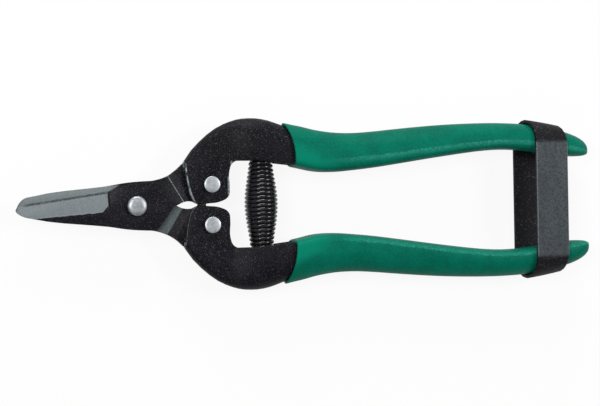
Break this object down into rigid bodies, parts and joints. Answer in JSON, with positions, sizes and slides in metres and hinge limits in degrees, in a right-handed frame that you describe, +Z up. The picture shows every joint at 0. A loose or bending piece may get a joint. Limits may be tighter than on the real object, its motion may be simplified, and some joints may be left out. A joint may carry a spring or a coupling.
{
  "type": "floral snips",
  "caption": "Spring-loaded floral snips: slim straight blades on a riveted pivot, folded steel handles with vinyl grips, a barrel coil spring and a keeper strap that holds them closed.",
  "frame": {"origin": "middle of the bounding box at its lowest face, the flat back run of the keeper strap", "axes": "+X along the tool from the blade tips to the handle ends, +Y across the handles, +Z up out of the blade plane"},
  "size_m": [0.19, 0.0548, 0.0163],
  "materials": {
    "blade_steel": "black coated with ground bare bevels",
    "handle_steel": "black semi-matt coating",
    "rivet_steel": "bright, wiped clean",
    "spring_steel": "black gloss",
    "grip_vinyl": "semi-gloss dipped vinyl",
    "strap_vinyl": "matt black band"
  },
  "bodies": {
    "lower_half": {"rear_blade": "blade_steel", "lower_handle_shell": "handle_steel", "lower_tang_rivet": "rivet_steel", "lower_spring_stud": "rivet_steel", "lower_grip": "grip_vinyl", "pivot_rivet": "rivet_steel", "pivot_washer": "rivet_steel", "return_spring": "spring_steel"},
    "upper_half": {"front_blade": "blade_steel", "upper_handle_shell": "handle_steel", "upper_tang_rivet": "rivet_steel", "upper_spring_stud": "rivet_steel", "upper_grip": "grip_vinyl"},
    "strap": {"strap": "strap_vinyl"}
  },
  "joints": [
    {"name": "blade_pivot", "type": "hinge", "parent": "lower_half", "child": "upper_half", "pos_m": [-0.0575, 0, 0.00815], "axis": [0, 0, 1], "range_deg": [0, 22], "deforming": ["return_spring"]},
    {"name": "strap_slide", "type": "slide", "parent": "lower_half", "child": "strap", "axis": [0.9968, 0.0802, 0], "range_m": [0, 0.239]}
  ],
  "couplings": [
    {"joint": "strap_slide", "follows": "blade_pivot", "m_per_rad": 0.62}
  ]
}
